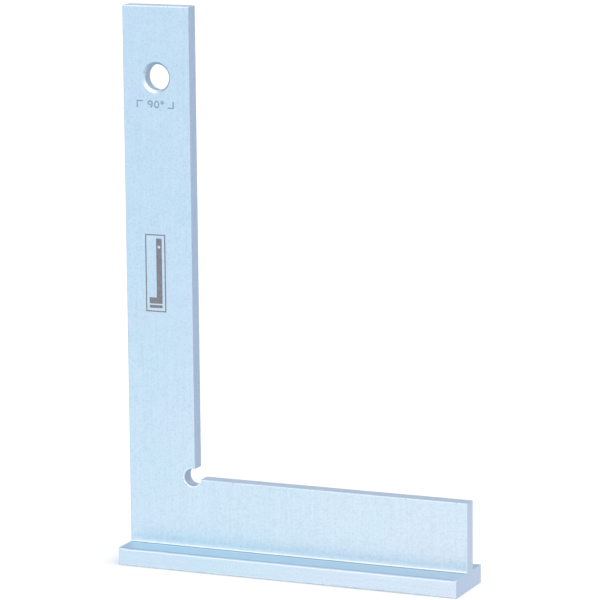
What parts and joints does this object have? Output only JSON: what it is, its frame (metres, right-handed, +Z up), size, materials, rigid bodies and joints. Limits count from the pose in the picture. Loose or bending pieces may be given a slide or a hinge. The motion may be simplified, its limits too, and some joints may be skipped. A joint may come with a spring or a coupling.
{
  "type": "flanged steel square",
  "caption": "Steel square: flat L-shaped blade standing on a wider flat base bar, with a hanging hole and a round relief in the inside corner.",
  "frame": {"origin": "middle of the base bar's sole, where the square stands", "axes": "+Z up along the long leg, +X along the base bar from the heel to the short leg's end, +Y across the base bar towards its back"},
  "size_m": [0.1, 0.019, 0.155],
  "materials": {
    "zinc_plated_steel": "satin, blue-passivated zinc over ground steel",
    "pin_steel": "ground, uncoated",
    "etched_mark": "matt dark grey, laser-etched oxide"
  },
  "bodies": {
    "root": {"blade": "zinc_plated_steel", "base_bar": "zinc_plated_steel", "dowel_pin_1": "pin_steel", "dowel_pin_2": "pin_steel", "dowel_pin_3": "pin_steel", "dowel_pin_4": "pin_steel"}
  },
  "joints": []
}
